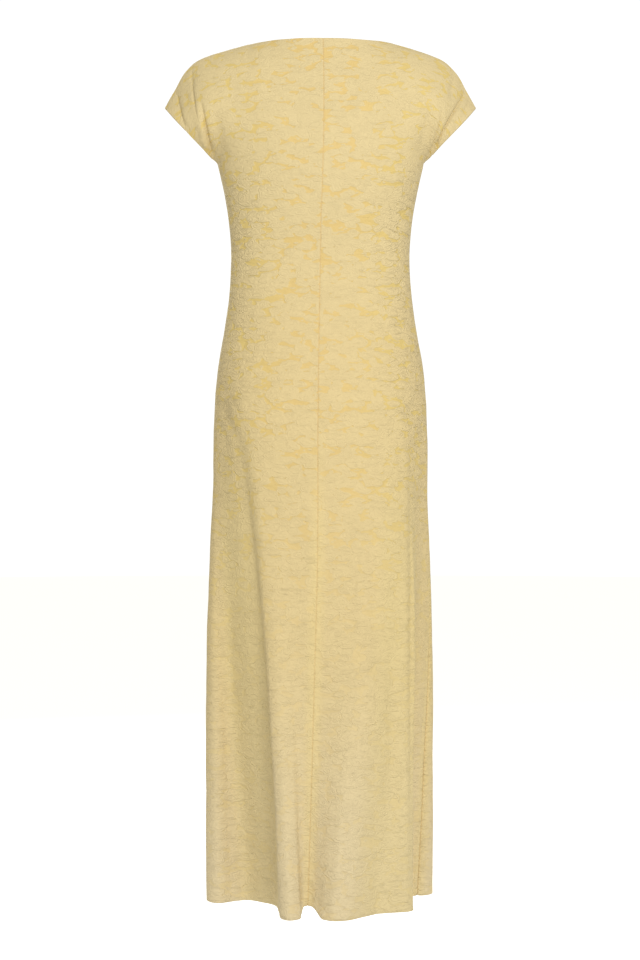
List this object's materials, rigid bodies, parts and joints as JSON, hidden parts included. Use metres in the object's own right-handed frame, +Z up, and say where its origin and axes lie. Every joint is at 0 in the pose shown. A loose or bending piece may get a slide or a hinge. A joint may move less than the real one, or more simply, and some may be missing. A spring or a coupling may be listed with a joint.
{
  "type": "jersey dress",
  "caption": "Ankle-length jersey dress with a boat neck and cap sleeves, hollow and filled out as when worn, its skirt hanging in soft folds.",
  "frame": {"origin": "midway between the shoulder seams, at the height where the wearer's shoulders carry the dress", "axes": "+Z up towards the neckline, +Y towards the back of the dress, +X towards the wearer's left side"},
  "size_m": [0.482, 0.2984, 1.3207],
  "materials": {
    "jersey": "pale yellow jacquard jersey, soft and matt with a slight sheen"
  },
  "bodies": {
    "root": {"back_left": "jersey", "back_right": "jersey", "front": "jersey"}
  },
  "joints": []
}
